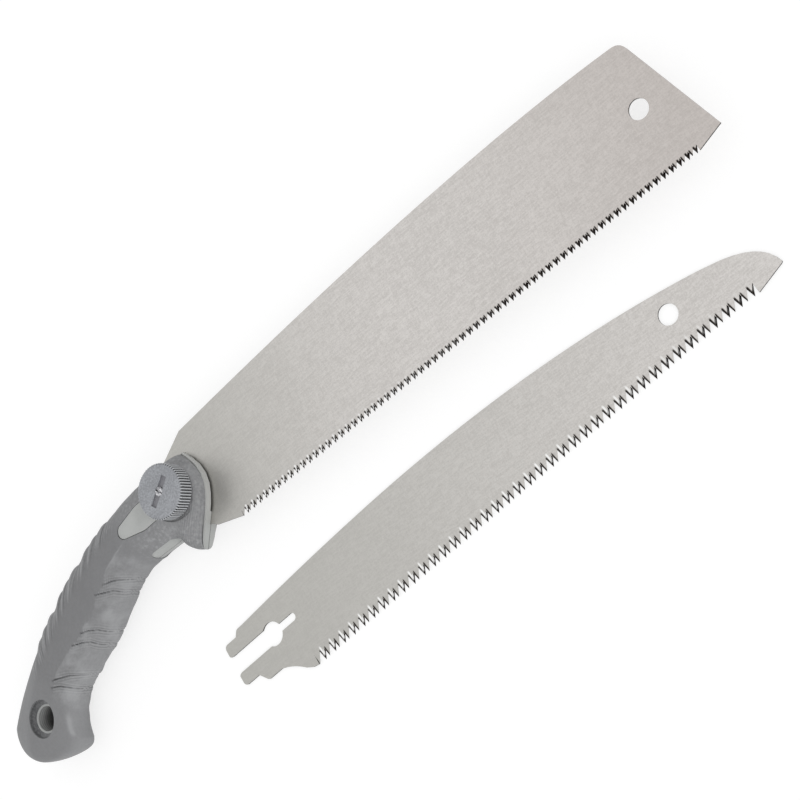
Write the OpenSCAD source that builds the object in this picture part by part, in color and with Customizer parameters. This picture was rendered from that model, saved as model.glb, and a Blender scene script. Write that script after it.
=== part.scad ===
// Garden hand saw with a wide blade in the handle and a leaf-shaped spare blade beside it.
// The origin is on the axis of the hanging hole, in the mid plane of the blade.
// +X runs along the tooth line to the tip, +Y to the back of the blade, +Z to the knob side.

/* [Handle] */
// From the hanging hole to the clamp axis, along the saw
reach = 139; // [125:1:155]
// From the hanging hole to the clamp axis, across the saw
rise = 54; // [46:1:62]
// Width of the neck that holds the tang
neck_w = 35.5; // [35:0.5:41]
// Thickness of the neck
neck_t = 26; // [25:0.5:29]
// Width of the grip at the palm
palm_w = 41.5; // [37:0.5:46]
// Thickness of the grip at the palm
palm_t = 31; // [29:0.5:36]
// Width of the grip at its waist, before the butt
waist_w = 36; // [33:0.5:40]
// Width of the flared butt
butt_w = 51; // [46:0.5:56]
// Thickness of the butt
butt_t = 20; // [18:0.5:26]
// How far the butt rounds out behind its widest section
butt_round = 17.1; // [15:0.1:22]
// How far the butt's end leans over to the palm side
butt_lean = 9.7; // [4:0.1:12]
// How full the butt's round end is, from pointed to blunt
butt_full = 1.7; // [1.4:0.1:2.6]
// How far the butt's toe swells out under the fingers
butt_flare = 1.4; // [0:0.1:2.5]
// Thickness of the rubber over the hard core
rubber_t = 1.6; // [1.2:0.1:2]
// Thickness of the rubber on the finger side of the neck, beside the bare strip
lip_t = 0.6; // [0.4:0.1:0.8]
// Scallops along the palm side
scallops = 8; // [5:1:10]
// Depth of a scallop
scallop_d = 0.8; // [0.4:0.1:1.2]
// Lobes along the finger side
lobes = 5; // [3:1:7]
// Depth of the dips between the lobes
lobe_d = 1; // [0.5:0.1:1.4]
// Bore of the hanging hole, through the core
hang_d = 13.4; // [10:0.2:15]
// Recess in the rubber and core round the hanging hole
hang_recess_d = 20.8; // [18:0.2:22]
// Height of the hanging hole's bore between its two recesses
hang_bore_h = 13.4; // [11:0.2:15]
// Length of the bare strip on the finger side of the neck
strip_l = 23; // [18:0.5:26]
// Height of the bare strip on the knob side of the blade
strip_up = 5.5; // [4:0.5:7]
// Height of the bare strip on the far side of the blade
strip_down = 9; // [4:0.5:10]
// Length of the inlaid tongue behind the clamp axis
tongue_l = 41; // [36:0.5:44]
// Width of the inlaid tongue
tongue_w = 14; // [10:0.5:16]
// Diameter of the pegs that locate one core half in the other
peg_d = 4; // [3:0.2:5]
// Height of the pegs above the parting plane
peg_h = 5; // [3:0.5:6]

/* [Guard] */
// Length of the guard's rim from its top to the tip that shields the finger
guard_w = 52.8; // [50:0.2:57]
// Thickness of the rim
guard_t = 10; // [8:0.5:12]
// How far the rim bows forward
guard_bow = 11.8; // [9:0.1:13]
// Width of the rim's bare edge in front of the rubber
rim_l = 1; // [0.6:0.1:2]

/* [Clamp] */
// Diameter of the knob over its grooves
knob_d = 29; // [28:0.5:31]
// Height of the knob's grooved body
knob_h = 9.5; // [8:0.5:11]
// Grooves round the knob
knob_grooves = 60; // [40:2:72]
// Depth of a groove
groove_d = 0.8; // [0.4:0.1:1]
// Width of a groove
groove_w = 0.8; // [0.5:0.1:1]
// Length of the coin slot in the knob
coin_l = 17; // [14:0.5:20]
// Width of the coin slot
coin_w = 3.6; // [2.8:0.2:4.2]
// Depth of the coin slot
coin_d = 1.2; // [1:0.1:2]
// Direction of the coin slot, from the tooth line
coin_turn = 36; // [0:1:90]
// Diameter of the bolt
bolt_d = 8; // [7:0.1:8.4]
// Pitch of the bolt's thread
bolt_pitch = 1.25; // [1:0.05:1.25]
// Turns that the knob is backed off, so that the blade can slide
back_off_turns = 1.2; // [1.16:0.01:1.25]
// Diameter of the bolt's collar
collar_d = 12; // [11:0.1:12.6]
// Height of the collar
collar_h = 4; // [3:0.1:4.4]
// Square at the top of the bolt that drives it from the knob
drive_w = 5.4; // [4.6:0.1:5.5]
// Width across the flats of the nut
nut_af = 13; // [12:0.5:14]
// Height of the nut
nut_h = 6.5; // [5:0.5:7]
// Diameter of the washer
washer_d = 22; // [18:0.5:24]
// Thickness of the washer
washer_t = 1.2; // [0.8:0.1:1.6]
// Diameter of the centre screw's head
screw_head_d = 4.8; // [4:0.1:5.4]
// Diameter of the centre screw's shank
screw_d = 3; // [2.4:0.1:3.4]

/* [Tang] */
// Length of the prongs behind the clamp axis
prong_l = 29.5; // [27:0.5:31]
// Width over the two prongs
prong_w = 24; // [22:0.5:25]
// From the clamp axis to the upper shoulder
shoulder_up = 15; // [13.5:0.1:15.2]
// From the clamp axis to the lower shoulder
shoulder_down = 17.4; // [15:0.1:17.5]
// Length of the shoulders behind the clamp axis
shoulder_l = 18; // [16:0.5:20]
// Width of the narrow relief slot in front of the keyhole
relief_w = 4.2; // [3:0.1:5]
// Length of the relief slot in front of the clamp axis
relief_l = 17; // [14:0.5:19]
// Radius on the corners of the tang
tang_r = 2.4; // [1.5:0.1:2.8]

/* [Saw blade] */
// Thickness of both blades
blade_t = 0.9; // [0.7:0.05:1]
// Teeth of the wide blade
saw_teeth = 130; // [110:2:140]
// Tooth pitch of the wide blade
saw_pitch = 2.25; // [2:0.05:2.5]
// Tooth height of the wide blade
saw_tooth_h = 3.4; // [2.5:0.1:4]
// From the clamp axis forward to the first tooth
saw_heel = 25.5; // [23:0.5:30]
// From the clamp axis down to the tooth line
saw_drop = 30.7; // [29:0.1:33]
// Width of the wide blade at its heel
saw_heel_w = 60.7; // [56:0.1:66]
// Width of the wide blade at its highest control point, which sets the arch of its back
saw_arch_w = 75.3; // [70:0.1:82]
// Width of the wide blade at its tip corner
saw_tip_w = 66.7; // [60:0.1:68]
// How far the tip's end edge leans back
saw_tip_lean = 17.4; // [8:0.1:24]
// Length of the plain nose in front of the last tooth
saw_nose = 14; // [10:0.5:18]
// Bore of the hole at the tip of both blades
tip_hole_d = 10; // [8:0.2:11]

/* [Spare blade] */
// Teeth of the spare blade
spare_teeth = 80; // [70:1:84]
// Tooth pitch of the spare blade
spare_pitch = 3.57; // [3.2:0.01:3.8]
// Tooth height of the spare blade
spare_tooth_h = 5.4; // [4:0.1:6]
// From the keyhole forward to the first tooth of the spare blade
spare_heel = 15.2; // [14:0.1:18]
// From the keyhole down to the tooth line of the spare blade
spare_drop = 28.6; // [28:0.1:32]
// Greatest width of the spare blade
spare_w = 47; // [44:0.1:52]
// Length of the spare blade's plain tip
spare_nose = 16; // [12:0.5:19]
// Direction of the spare blade where it lies, from the tooth line of the saw
spare_turn = 3.8; // [0:0.05:6]
// Where the spare blade's keyhole lies, along the saw
spare_x = 139; // [130:1:150]
// Where the spare blade's keyhole lies, across the saw
spare_y = -31; // [-60:1:-30]

/* [Teeth] */
// Where a tooth's tip stands between its gullets, as a part of the pitch from the handle side
tooth_rake = 0.24; // [0.15:0.01:0.4]
// Slant of the ground flanks through the blade, as a part of its thickness
tooth_bevel = 0.85; // [0.4:0.05:1]
// How far each tip is set out of the blade's face
tooth_set = 0.2; // [0.1:0.05:0.3]

/* [Hidden] */
$fn = 64;

// Clearances: a flat sliding fit, a loose outline, a bearing's radius and a seated piece
slide_gap = 0.15;
loose_gap = 0.25;
bearing_gap = 0.05;
seat_gap = 0.05;
// A cut runs this far past the face that it opens
past = 1;

clamp = [reach, rise];
screw_travel = bolt_pitch * back_off_turns;
slot_half = blade_t / 2 + slide_gap;
key_d = collar_d + 0.6;
prong_slot_w = bolt_d + 1.5;

// Heights of the clamp's parts above the blade's mid plane, with the knob backed off
collar_z = blade_t / 2 + 0.4;
collar_roof_z = collar_z + collar_h + 1.1;
pocket_half = blade_t / 2 + 1.1;
knob_seat_z = neck_t / 2 - 2.3;
seat_z = knob_seat_z - 2;
washer_z = seat_z + screw_travel + 0.1;
hub_z = washer_z + washer_t + seat_gap;
knob_z = knob_seat_z + screw_travel + 0.3;
knob_top = knob_z + knob_h;
bolt_top = knob_top - coin_d - 2.2;
collar_pit = screw_travel - collar_z + 0.4;
nut_z = -collar_pit - 3 - nut_h;
bolt_end = nut_z - 0.4;
hub_d = washer_d - 3;
washer_pocket_d = washer_d + 0.8;
knob_recess_d = knob_d + 1.6;
nut_window_d = nut_af / cos(30) + 2;

// The handle's skin is a loft of cross-sections from the guard to the butt
// A row holds: centre x, y, turn, half widths to the back and to the fingers,
// half thickness, forward bow and squareness
sides = 32;
rim_tilt = -13.5;
rim_square = 3.4;
rim_centre = clamp + [3.35, -6.85];
rim_forward = [cos(rim_tilt), sin(rim_tilt)];
function row(at, turn, back, fingers, half_t, bow, square) =
    [at[0], at[1], turn, back, fingers, half_t, bow, square];
function down_grip(along, across) = [reach * (1 - along), rise * (1 - across)];
function mix(a, b, t) = a + (b - a) * t;

rim_w = guard_w / 2;
rim_row = row(rim_centre, rim_tilt, rim_w, rim_w, guard_t / 2, guard_bow, rim_square);
rim_back = rim_centre - rim_l * rim_forward;
cove_w = mix(guard_w, neck_w, 0.38) / 2;
throat_back_w = mix(guard_w, neck_w, 0.75) / 2;
throat_finger_w = mix(guard_w, neck_w, 0.95) / 2;
rising_w = mix(neck_w, palm_w, 0.55) / 2;
falling_w = mix(palm_w, waist_w, 0.35) / 2;
skin_rows = [
    row(rim_back, rim_tilt, rim_w - 0.8, rim_w - 0.8, guard_t / 2 + 1.2, guard_bow, rim_square),
    row(clamp + [-0.9, -5.6], -13, rim_w - 0.9, rim_w - 0.9,
        mix(guard_t, neck_t, 0.5) / 2 + 0.6, guard_bow + 1.6, 3.4),
    row(clamp + [-6.5, -3], -10, cove_w, cove_w, neck_t / 2 - 1.2, guard_bow + 4, 3.2),
    row(clamp + [-11.8, -1.2], -3, throat_back_w, throat_finger_w, neck_t / 2 - 0.2, guard_bow + 3, 3),
    row(clamp + [-17.8, -0.5], 2, neck_w / 2 + 0.6, neck_w / 2 + 1.8, neck_t / 2, guard_bow * 0.6, 2.8),
    row(down_grip(0.27, 0.0185), 5.7, neck_w / 2, neck_w / 2 + 0.9, neck_t / 2, 0, 2.8),
    row(down_grip(0.373, 0.067), 16, neck_w / 2 - 0.2, neck_w / 2 - 0.5,
        mix(neck_t, palm_t, 0.4) / 2, 0, 2.5),
    row(down_grip(0.502, 0.211), 23.6, rising_w, rising_w, palm_t / 2, 0, 2.3),
    row(down_grip(0.648, 0.38), 28, palm_w / 2, palm_w / 2, palm_t / 2, 0, 2.3),
    row(down_grip(0.778, 0.54), 28, falling_w, falling_w, mix(palm_t, butt_t, 0.25) / 2, 0, 2.3),
    row(down_grip(0.8781, 0.6594), 33, waist_w / 2, waist_w / 2 - 0.2, mix(palm_t, butt_t, 0.5) / 2, 0, 2.3),
    row(down_grip(0.9744, 0.9123), 41.8, mix(waist_w, butt_w, 0.534) / 2, mix(waist_w, butt_w, 0.417) / 2,
        mix(palm_t, butt_t, 0.8) / 2, 0, 2.4),
    row(down_grip(1.0256, 1.1308), 54.8, butt_w / 2 + 1.6, butt_w / 2 - 1.4, butt_t / 2, 0, 2.5)
];
neck_row = 4;
last_row = len(skin_rows) - 1;

// A smooth curve through the rows, at a place between 0 and last_row
function row_at(rows, i) = rows[max(0, min(len(rows) - 1, i))];
function blended(rows, place) =
    let (i = min(floor(place), len(rows) - 2), f = place - i,
         a = row_at(rows, i - 1), b = row_at(rows, i), c = row_at(rows, i + 1), d = row_at(rows, i + 2))
    0.5 * (2 * b + (c - a) * f + (2 * a - 5 * b + 4 * c - d) * f * f + (3 * b - a - 3 * c + d) * f * f * f);

// The core lies inside the skin by the rubber's thickness, less on the finger side of the neck
function finger_rubber(place) = mix(lip_t, rubber_t, max(0, min(1, (place - 5.5) * 0.8)));
function inset(r, place) =
    row([r[0], r[1]], r[2], r[3] - rubber_t, r[4] - finger_rubber(place), r[5] - rubber_t, r[6], r[7]);

// Scallops on the palm side and lobes on the finger side, fading out at both ends
function ripple(place, first, last, count) =
    place < first || place > last ? 0 : 0.5 - 0.5 * cos(360 * count * (place - first) / (last - first));
function rippled(r, place) =
    row([r[0], r[1]], r[2], r[3] - scallop_d * ripple(place, 5.7, 10.4, scallops),
        r[4] - lobe_d * ripple(place, 5.5, 9.9, lobes), r[5], r[6], r[7]);

// One point of a cross-section: the angle runs from the back, over the knob side, to the fingers
function skin_point(r, angle) =
    let (radius = pow(pow(abs(cos(angle)), r[7]) + pow(abs(sin(angle)), r[7]), -1 / r[7]),
         q = radius * cos(angle), u = (1 - q) / 2,
         across = q > 0 ? q * r[3] : q * r[4],
         forward = r[6] * 4 * u * (1 - u) * (1.5 - 1.06 * u))
    [r[0] - sin(r[2]) * across + cos(r[2]) * forward,
     r[1] + cos(r[2]) * across + sin(r[2]) * forward,
     radius * sin(angle) * r[5]];
function ring(r) = [for (j = [0:sides - 1]) skin_point(r, 360 * j / sides)];

// The butt closes as a round cap behind the last row, whose toe first swells on the fingers' side
cap_steps = 6;
function cap_row(r, depth, k) =
    let (far = sin(88 * k / cap_steps), size = pow(1 - pow(far, butt_full), 1 / butt_full),
         back = depth * far, lean = butt_lean * far * far,
         toe = butt_flare * 74 * far * far * pow(1 - far, 5.35))
    row([r[0] - cos(r[2]) * back - sin(r[2]) * lean, r[1] - sin(r[2]) * back + cos(r[2]) * lean],
        r[2], r[3] * size, r[4] * size + toe, r[5] * size, 0, r[7]);

function places(fine) = concat(
    [for (p = [0:0.5:neck_row]) p],
    [for (p = [neck_row + fine:fine:last_row - 0.001]) p],
    [last_row]);
outer_rings = concat(
    [for (p = places(0.1)) ring(rippled(blended(skin_rows, p), p))],
    [for (k = [1:cap_steps]) ring(cap_row(blended(skin_rows, last_row), butt_round, k))]);
inner_rings = concat(
    [for (p = places(0.5)) ring(inset(blended(skin_rows, p), p))],
    [for (k = [1:cap_steps])
        ring(cap_row(inset(blended(skin_rows, last_row), last_row), butt_round - rubber_t, k))]);
rim_back_row = row(rim_back, rim_tilt, rim_w, rim_w, guard_t / 2, guard_bow, rim_square);
core_rings = concat([ring(rim_row), ring(rim_back_row)], inner_rings);

// Faces of a skin between rings, starting at a point index, and of its two ends
function skin_faces(count, first) = [for (i = [0:count - 2]) for (j = [0:sides - 1]) for (half = [0, 1])
    let (a = first + i * sides, b = a + sides, k = (j + 1) % sides)
    half == 0 ? [a + j, a + k, b + k] : [a + j, b + k, b + j]];
function reversed(faces) = [for (f = faces) [f[2], f[1], f[0]]];
function front_faces(first) = [for (j = [0:sides / 2 - 1]) for (half = [0, 1])
    let (k = sides - j, a = first + j, b = first + j + 1, c = first + k - 1, d = first + (k % sides))
    if (half == 0 ? b != c : a != d) half == 0 ? [a, c, b] : [a, d, c]];
function butt_faces(first) = [for (j = [0:sides / 2 - 1]) for (half = [0, 1])
    let (k = sides - j, a = first + j, b = first + j + 1, c = first + k - 1, d = first + (k % sides))
    if (half == 0 ? b != c : a != d) half == 0 ? [a, b, c] : [a, c, d]];
function edge_faces(outer, inner) = [for (j = [0:sides - 1]) for (half = [0, 1])
    let (k = (j + 1) % sides)
    half == 0 ? [outer + j, inner + k, outer + k] : [outer + j, inner + j, inner + k]];
function flat(rings) = [for (r = rings) for (p = r) p];

// One half of the core: the loft on one side of the parting plane, closed flat on that plane
module core_half(side) {
    count = len(core_rings);
    polyhedron([for (p = flat(core_rings)) [p[0], p[1], side > 0 ? max(0, p[2]) : min(0, p[2])]],
        concat(skin_faces(count, 0), front_faces(0), butt_faces((count - 1) * sides)), convexity = 6);
}

module rubber_body() {
    outer = len(outer_rings);
    inner = len(inner_rings);
    start = outer * sides;
    polyhedron(concat(flat(outer_rings), flat(inner_rings)),
        concat(skin_faces(outer, 0), butt_faces((outer - 1) * sides),
               reversed(skin_faces(inner, start)), reversed(butt_faces(start + (inner - 1) * sides)),
               edge_faces(0, start)), convexity = 8);
}

// Outlines of the blades, in the plane of the blade, with the clamp axis at the origin
function bend(a, b, c, t) = (1 - t) * (1 - t) * a + 2 * t * (1 - t) * b + t * t * c;
function curve(a, b, c, steps) = [for (i = [0:steps]) bend(a, b, c, i / steps)];

// The forked tang that both blades share
module tang_outline() {
    offset(r = tang_r)
        offset(delta = -tang_r)
            polygon([
                [0, shoulder_up],
                [-shoulder_l, shoulder_up],
                [-shoulder_l - 2.5, prong_w / 2],
                [-prong_l, prong_w / 2],
                [-prong_l, -prong_w / 2],
                [-shoulder_l - 1, -prong_w / 2],
                [-shoulder_l + 3, -shoulder_down],
                [0, -shoulder_down]
            ]);
}

// Its open slot flares a little at the mouth, so that the prongs' inner corners are eased
mouth = 1.1;
module tang_slot() {
    half = prong_slot_w / 2;
    circle(d = key_d);
    polygon([
        [0, half],
        [-prong_l + 2 * mouth, half],
        [-prong_l + 0.6 * mouth, half + 0.35 * mouth],
        [-prong_l, half + mouth],
        [-prong_l - past, half + mouth],
        [-prong_l - past, -half - mouth],
        [-prong_l, -half - mouth],
        [-prong_l + 0.6 * mouth, -half - 0.35 * mouth],
        [-prong_l + 2 * mouth, -half],
        [0, -half]
    ]);
    translate([0, -relief_w / 2])
        square([relief_l - relief_w / 2, relief_w]);
    translate([relief_l - relief_w / 2, 0])
        circle(d = relief_w);
}

// Land between the gullets and the plate, so that the teeth stand on a strip of their own
land = 0.6;

// A row of teeth along +X with its gullets on y = 0 and its tips below.
// Each tooth is full on one face and ground back on the other, and every second one is turned over.
module tooth_row(count, pitch, height) {
    slant = tooth_bevel * blade_t;
    small = (pitch - slant) / (pitch + slant);
    face = blade_t / 2;
    function full_up(i) = i % 2 == 0 ? 1 : -1;
    function gullet_shift(i) = i == 0 || i == count ? 0 : -slant / 2 * full_up(i);
    function tip(i, up) =
        let (full = full_up(i) == up)
        [(i + tooth_rake) * pitch, -height * (full ? 1 : small), up * (face + (full ? tooth_set : 0))];
    points = concat(
        [for (i = [0:count]) for (p = [
            [i * pitch + gullet_shift(i), 0, face], [i * pitch - gullet_shift(i), 0, -face],
            [i * pitch, land, face], [i * pitch, land, -face]]) p],
        [for (i = [0:count - 1]) for (up = [1, -1]) tip(i, up)]);
    tips = 4 * (count + 1);
    faces = concat(
        [for (i = [0:count - 1]) let (a = 4 * i, b = a + 4, t = tips + 2 * i) for (f = [
            [a, a + 2, b + 2], [a, b + 2, b], [a, b, t],
            [a + 1, b + 3, a + 3], [a + 1, b + 1, b + 3], [a + 1, t + 1, b + 1],
            [a, t, t + 1], [a, t + 1, a + 1], [b, t + 1, t], [b, b + 1, t + 1],
            [a + 2, a + 3, b + 3], [a + 2, b + 3, b + 2]]) f],
        [[0, 1, 3], [0, 3, 2]],
        let (e = 4 * count) [[e, e + 3, e + 1], [e, e + 2, e + 3]]);
    polyhedron(points, faces, convexity = 10);
}

saw_row = [saw_heel, -saw_drop + saw_tooth_h];
saw_row_l = saw_teeth * saw_pitch;
saw_foot = saw_row[1] + land;
saw_nose_at = [saw_heel + saw_row_l + saw_nose, -saw_drop + 4.3];
saw_corner = [saw_nose_at[0] - saw_tip_lean, -saw_drop + saw_tip_w];
saw_corner_r = 5.5;
saw_hole = [saw_nose_at[0] - 26.4, -saw_drop + 34.3];

// The wide blade's plate above its row of teeth
module saw_plate() {
    back_start = [12.5, -saw_drop + saw_heel_w];
    back_peak = [mix(back_start[0], saw_corner[0], 0.65), -saw_drop + saw_arch_w];
    end_l = norm(saw_nose_at - saw_corner);
    down_end = (saw_nose_at - saw_corner) / end_l;
    polygon(concat(
        [[saw_heel, -saw_drop + 0.4], [saw_heel, saw_foot], [saw_heel + saw_row_l, saw_foot],
         [saw_heel + saw_row_l, -saw_drop + 0.4], saw_nose_at],
        curve(saw_corner + saw_corner_r * down_end, saw_corner, saw_corner - [saw_corner_r, 0], 6),
        curve(saw_corner - [saw_corner_r, 0], back_peak, back_start, 24),
        [[-shoulder_l + 1, shoulder_up], [-shoulder_l + 4, -shoulder_down], [-7, -shoulder_down]],
        curve([-5, -shoulder_down], [2, -shoulder_down - 2], [9, -saw_drop + 5.4], 5)));
}

module saw_outline() {
    saw_plate();
    tang_outline();
}

spare_row = [spare_heel, -spare_drop + spare_tooth_h];
spare_row_l = spare_teeth * spare_pitch;
spare_foot = spare_row[1] + land;
spare_tip = [spare_heel + spare_row_l + spare_nose, -spare_drop + 4.2];
spare_hole = [spare_row[0] + spare_row_l - 38.2, -spare_drop + 19.7];

// The leaf-shaped spare blade's plate above its row of teeth
module spare_plate() {
    crown = [spare_tip[0] * 0.27, -spare_drop + spare_w];
    bend_at = spare_tip + [-26.7, 20.4];
    polygon(concat(
        [[spare_heel, -spare_drop + 0.3], [spare_heel, spare_foot], [spare_heel + spare_row_l, spare_foot],
         [spare_heel + spare_row_l, -spare_drop], spare_tip - [0.7, 0.6]],
        curve(spare_tip, spare_tip + [-2, 14], bend_at, 8),
        curve(bend_at - [6, -1.7], [mix(crown[0], bend_at[0], 0.55), crown[1] + 0.5], crown, 16),
        curve(crown - [5, 0.05], [crown[0] * 0.4, crown[1] - 0.5], [-shoulder_l + 4, shoulder_up], 10),
        [[-shoulder_l + 4, -shoulder_down], [-7, -shoulder_down]],
        curve([-5, -shoulder_down], [2, -shoulder_down - 2.4], [8, -spare_drop + 3], 5),
        [[11.5, -spare_drop + 1]]));
}

module blade_in_slot(extra) {
    translate(concat(clamp, [0]))
        linear_extrude(2 * (slot_half + extra), center = true)
            offset(delta = loose_gap)
                saw_outline();
}

// The cavity that both core halves leave for the tang: close round the blade, deeper beside the bolt
module tang_cavity() {
    blade_in_slot(0);
    translate(concat(clamp, [0]))
        linear_extrude(2 * pocket_half, center = true)
            translate([-shoulder_l, -shoulder_down])
                square([shoulder_l + guard_w, shoulder_down + shoulder_up]);
}

module on_clamp(z) {
    translate([clamp[0], clamp[1], z])
        children();
}

tongue_tip_r = 4;
tongue_top = neck_t / 2 - 0.25;
module tongue_outline(gap) {
    hull() {
        translate(clamp + [-tongue_l + tongue_tip_r, -0.3])
            circle(r = tongue_tip_r + gap, $fn = 32);
        translate(clamp + [-tongue_l * 0.58, -0.3])
            circle(d = tongue_w + 2 * gap, $fn = 32);
        translate(clamp + [-knob_recess_d / 2 + 2, 0])
            square([2, tongue_w + 2 * gap], center = true);
    }
}

half_h = 40;
peg_places = [down_grip(0.47, 0.19), down_grip(0.75, 0.51)];
module pegs(d, h) {
    for (p = peg_places)
        translate([p[0], p[1], -h])
            cylinder(d = d, h = h + 2 * past);
}

module hang_bore() {
    cylinder(d = hang_d, h = 2 * half_h, center = true);
}

module hang_recess(d) {
    for (side = [0, 1])
        mirror([0, 0, side])
            translate([0, 0, hang_bore_h / 2])
                cylinder(d = d, h = half_h);
}

module core_near() {
    color("#a7aaa5")
        union() {
            difference() {
                union() {
                    core_half(1);
                    translate([0, 0, neck_t / 4])
                        linear_extrude(tongue_top - neck_t / 4)
                            tongue_outline(0);
                }
                tang_cavity();
                on_clamp(0)
                    cylinder(d = collar_d + 2 * loose_gap, h = collar_roof_z);
                on_clamp(0)
                    cylinder(d = bolt_d + 2 * slide_gap, h = half_h);
                on_clamp(seat_z)
                    cylinder(d = washer_pocket_d, h = half_h);
                on_clamp(knob_seat_z)
                    cylinder(d = knob_recess_d, h = half_h);
                hang_bore();
                hang_recess(hang_recess_d);
            }
            pegs(peg_d, peg_h);
        }
}

module core_far() {
    color("#a7aaa5")
        difference() {
            core_half(-1);
            tang_cavity();
            on_clamp(-collar_pit)
                cylinder(d = collar_d + 2 * loose_gap, h = half_h);
            on_clamp(-half_h)
                cylinder(d = bolt_d + 2 * slide_gap, h = 2 * half_h);
            on_clamp(nut_z - half_h)
                cylinder(d = nut_af / cos(30) + 2 * seat_gap, h = nut_h + half_h, $fn = 6);
            hang_bore();
            hang_recess(hang_recess_d);
            pegs(peg_d + 2 * seat_gap, peg_h + seat_gap);
        }
}

module grip_sleeve() {
    strip_end = clamp - [14.5, 0];
    color("#7d7f82")
        difference() {
            rubber_body();
            blade_in_slot(slide_gap);
            translate([0, 0, neck_t / 4])
                linear_extrude(half_h)
                    tongue_outline(0);
            on_clamp(knob_seat_z)
                cylinder(d = knob_recess_d, h = half_h);
            on_clamp(seat_z)
                cylinder(d = washer_pocket_d, h = half_h);
            on_clamp(-neck_t / 4 - half_h)
                cylinder(d = nut_window_d, h = half_h);
            translate([strip_end[0] - strip_l, strip_end[1] - neck_w, -strip_down])
                cube([strip_l, neck_w - 14, strip_down + strip_up]);
            hang_recess(hang_recess_d);
        }
}

module clamp_nut() {
    color("silver")
        on_clamp(nut_z)
            difference() {
                cylinder(d = nut_af / cos(30), h = nut_h, $fn = 6);
                translate([0, 0, -past])
                    cylinder(d = bolt_d + 2 * bearing_gap, h = nut_h + 2 * past);
            }
}

module saw_blade() {
    color("#bebbb6")
        translate(concat(clamp, [0]))
            difference() {
                union() {
                    linear_extrude(blade_t, center = true)
                        saw_outline();
                    translate(concat(saw_row, [0]))
                        tooth_row(saw_teeth, saw_pitch, saw_tooth_h);
                }
                linear_extrude(blade_t + 2 * past, center = true)
                    tang_slot();
                translate(concat(saw_hole, [0]))
                    cylinder(d = tip_hole_d, h = blade_t + 2 * past, center = true);
            }
}

module spare_blade() {
    floor_z = -palm_t / 2;
    color("#b4b1ac")
        translate([spare_x, spare_y, floor_z + blade_t / 2 + tooth_set])
            rotate(spare_turn)
                difference() {
                    union() {
                        linear_extrude(blade_t, center = true) {
                            spare_plate();
                            tang_outline();
                        }
                        translate(concat(spare_row, [0]))
                            tooth_row(spare_teeth, spare_pitch, spare_tooth_h);
                    }
                    linear_extrude(blade_t + 2 * past, center = true)
                        tang_slot();
                    translate(concat(spare_hole, [0]))
                        cylinder(d = tip_hole_d, h = blade_t + 2 * past, center = true);
                }
}

module thrust_washer() {
    color("gainsboro")
        on_clamp(washer_z)
            difference() {
                cylinder(d = washer_d, h = washer_t);
                translate([0, 0, -past])
                    cylinder(d = bolt_d + 2 * bearing_gap, h = washer_t + 2 * past);
            }
}

tap_depth = 5;
module clamp_bolt() {
    color("gainsboro")
        difference() {
            union() {
                on_clamp(bolt_end)
                    cylinder(d = bolt_d, h = hub_z - bolt_end);
                on_clamp(collar_z)
                    cylinder(d = collar_d, h = collar_h);
                on_clamp((hub_z + bolt_top) / 2)
                    cube([drive_w, drive_w, bolt_top - hub_z], center = true);
            }
            on_clamp(bolt_top - tap_depth)
                cylinder(d = screw_d + 2 * seat_gap, h = tap_depth + past);
        }
}

knob_edge = 1;
module clamp_knob() {
    r = knob_d / 2;
    color("#8c9196")
        difference() {
            on_clamp(0)
                union() {
                    rotate_extrude()
                        polygon([[0, knob_z], [r - knob_edge, knob_z], [r, knob_z + knob_edge],
                                 [r, knob_top - knob_edge], [r - knob_edge, knob_top], [0, knob_top]]);
                    translate([0, 0, hub_z])
                        cylinder(d = hub_d, h = knob_z - hub_z + knob_edge);
                }
            for (i = [0:knob_grooves - 1])
                on_clamp(knob_z - past)
                    rotate(360 * i / knob_grooves)
                        translate([r - groove_d, -groove_w / 2, 0])
                            cube([groove_d + past, groove_w, knob_h + 2 * past]);
            on_clamp(knob_top - coin_d)
                rotate(coin_turn)
                    translate([-coin_l / 2, -coin_w / 2, 0])
                        cube([coin_l, coin_w, coin_d + past]);
            on_clamp((hub_z - past + bolt_top + seat_gap) / 2)
                cube([drive_w + 2 * seat_gap, drive_w + 2 * seat_gap, bolt_top + seat_gap - hub_z + past],
                    center = true);
            on_clamp(bolt_top - past)
                cylinder(d = screw_d + 2 * seat_gap, h = knob_h);
            on_clamp(screw_seat)
                cylinder(d = screw_head_d + 2 * seat_gap, h = knob_h);
        }
}

screw_seat = bolt_top + 1;
screw_head_h = knob_top - screw_seat - 0.2;
module knob_screw() {
    color("gainsboro")
        difference() {
            union() {
                on_clamp(bolt_top - tap_depth + seat_gap)
                    cylinder(d = screw_d, h = tap_depth + 1.5);
                on_clamp(screw_seat + seat_gap)
                    cylinder(d = screw_head_d, h = screw_head_h);
            }
            on_clamp(screw_seat + screw_head_h / 2)
                rotate(coin_turn + 90)
                    translate([-screw_head_d, -0.45, 0])
                        cube([2 * screw_head_d, 0.9, knob_h]);
        }
}

core_near();
core_far();
grip_sleeve();
clamp_nut();
saw_blade();
thrust_washer();
clamp_bolt();
clamp_knob();
knob_screw();
spare_blade();
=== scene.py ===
"""A garden hand saw with a clamped wide blade, and its leaf-shaped spare blade, lying on white."""
import math

import bpy
import numpy as np
from mathutils import Matrix, Vector, kdtree


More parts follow.
